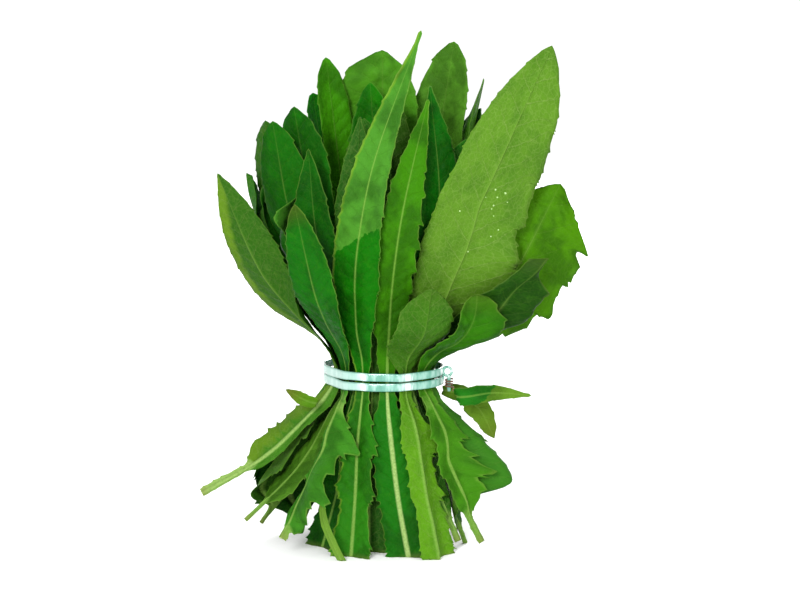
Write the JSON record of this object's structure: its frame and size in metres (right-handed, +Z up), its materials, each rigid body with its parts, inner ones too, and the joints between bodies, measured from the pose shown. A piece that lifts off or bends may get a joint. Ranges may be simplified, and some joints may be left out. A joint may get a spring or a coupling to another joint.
{
  "type": "bunch of leaf chicory",
  "caption": "Fresh green leaf chicory tied at the waist with a clear strap, leaves fanned above it and cut stalks splayed below.",
  "frame": {"origin": "centre of the level cut end of the middle stalk, on the floor under the tie's axis", "axes": "+Z up, from the cut stalks to the leaf tips; +X to the right and -Y to the front, as the picture shows the bunch"},
  "size_m": [0.2206, 0.1392, 0.3005],
  "materials": {
    "leaf": "fresh leaf, half matt",
    "clear_strap": "clear and glossy",
    "wire": "dull brown coating"
  },
  "bodies": {
    "root": {"leaf_back_mid_1": "leaf", "leaf_back_mid_2": "leaf", "leaf_back_mid_3": "leaf", "leaf_back_mid_4": "leaf", "leaf_back_mid_5": "leaf", "leaf_back_outer_1": "leaf", "leaf_back_outer_2": "leaf", "leaf_back_outer_3": "leaf", "leaf_back_outer_4": "leaf", "leaf_back_outer_5": "leaf", "leaf_back_outer_6": "leaf", "leaf_back_outer_7": "leaf", "leaf_back_right": "leaf", "leaf_broad_back": "leaf", "leaf_broad_right": "leaf", "leaf_core_back": "leaf", "leaf_core_front": "leaf", "leaf_curled": "leaf", "leaf_dark": "leaf", "leaf_droop_left": "leaf", "leaf_droop_ragged": "leaf", "leaf_droop_right": "leaf", "leaf_frilled": "leaf", "leaf_front_inner": "leaf", "leaf_front_left": "leaf", "leaf_front_second": "leaf", "leaf_left": "leaf", "leaf_left_back": "leaf", "leaf_left_inner": "leaf", "leaf_left_mid": "leaf", "leaf_left_second": "leaf", "leaf_petiole": "leaf", "leaf_right_inner": "leaf", "leaf_right_mid": "leaf", "leaf_scalloped": "leaf", "leaf_short_front": "leaf", "leaf_short_right": "leaf", "leaf_tall": "leaf", "leaf_upright": "leaf", "tie_strap": "clear_strap", "tie_wire": "wire"}
  },
  "joints": []
}
